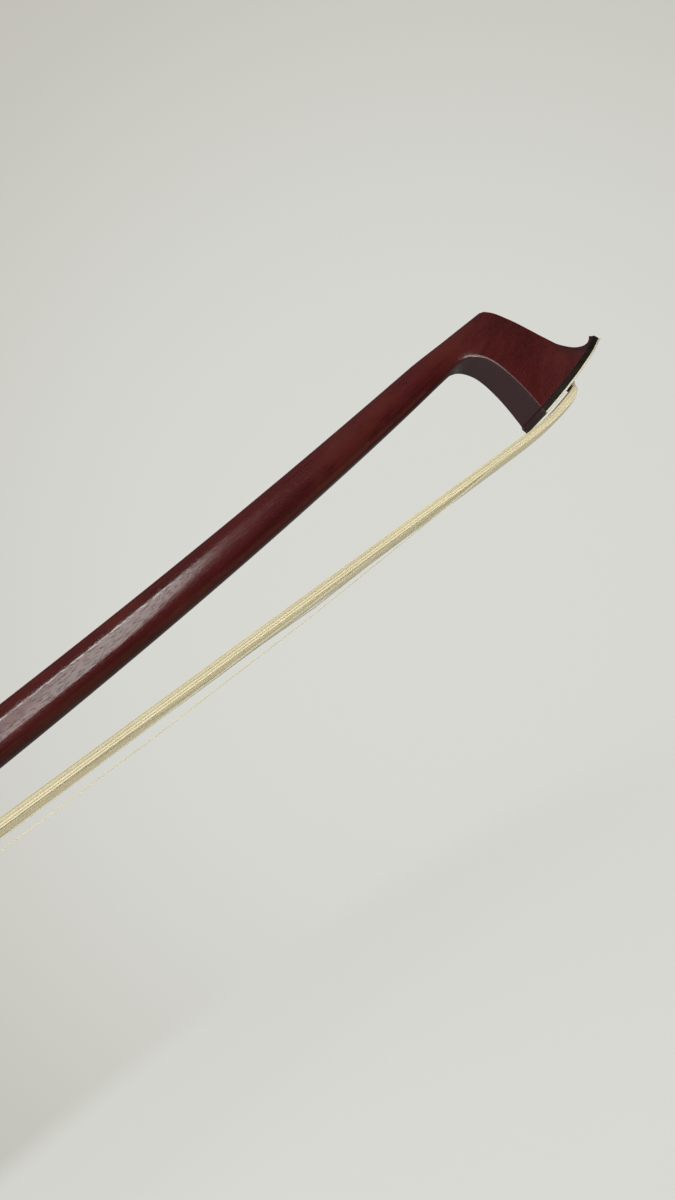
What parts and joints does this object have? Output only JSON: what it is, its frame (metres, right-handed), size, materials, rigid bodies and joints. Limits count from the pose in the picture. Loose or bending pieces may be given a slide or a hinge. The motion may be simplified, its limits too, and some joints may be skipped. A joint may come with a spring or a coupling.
{
  "type": "viola bow",
  "caption": "Viola bow with a cambered dark wood stick, carved head with bone plate, flat ribbon of horsehair, ebony frog on a screw, and octagonal button.",
  "frame": {"origin": "on the axis of the adjusting screw and of the stick's straight handle, straight above the mouth of the ferrule, where the hand holds the bow", "axes": "+X along the handle towards the tip, +Z from the hair to the stick, +Y to the far side; the shown side faces -Y"},
  "size_m": [0.7446, 0.0136, 0.0628],
  "materials": {
    "pernambuco": "polished",
    "ebony": "satin",
    "bone": "satin bone",
    "maple": "raw",
    "horsehair": "natural",
    "silver": "polished silver",
    "pearl": "mother-of-pearl",
    "brass": "plain",
    "steel": "plain",
    "leather": "matte"
  },
  "bodies": {
    "stick": {"stick": "pernambuco", "head_lining": "ebony", "head_plate": "bone", "head_plug": "maple", "head_hair_knot": "horsehair", "hair_ribbon": "horsehair", "grip_winding": "silver", "thumb_leather": "leather"},
    "frog": {"frog_body": "ebony", "underslide": "silver", "underslide_pin_front": "silver", "underslide_pin_rear": "silver", "eyelet": "brass", "ferrule": "silver", "spreader_wedge": "maple", "pearl_slide": "pearl", "slide_backing": "ebony", "frog_plug": "maple", "frog_hair_knot": "horsehair", "heel_plate_bottom": "silver", "heel_plate_back": "silver", "heel_pin_bottom": "silver", "heel_pin_back_low": "silver", "heel_pin_back_high": "silver", "eye_near": "pearl", "eye_far": "pearl", "eye_ring_near": "silver", "eye_ring_far": "silver"},
    "button": {"adjusting_screw": "steel", "button_front_collar": "silver", "button_barrel": "ebony", "button_rear_collar": "silver", "button_eye": "pearl"}
  },
  "joints": [
    {"name": "button_turn", "type": "hinge", "parent": "stick", "child": "button", "pos_m": [-0.054, 0, 0], "axis": [1, 0, 0], "range_deg": [-540, 1980]},
    {"name": "frog_slide", "type": "slide", "parent": "stick", "child": "frog", "axis": [-1, 0, 0], "range_m": [-0.00105, 0.00385], "deforming": ["hair_ribbon"]}
  ],
  "couplings": [
    {"joint": "button_turn", "follows": "frog_slide", "rad_per_m": 8976}
  ]
}
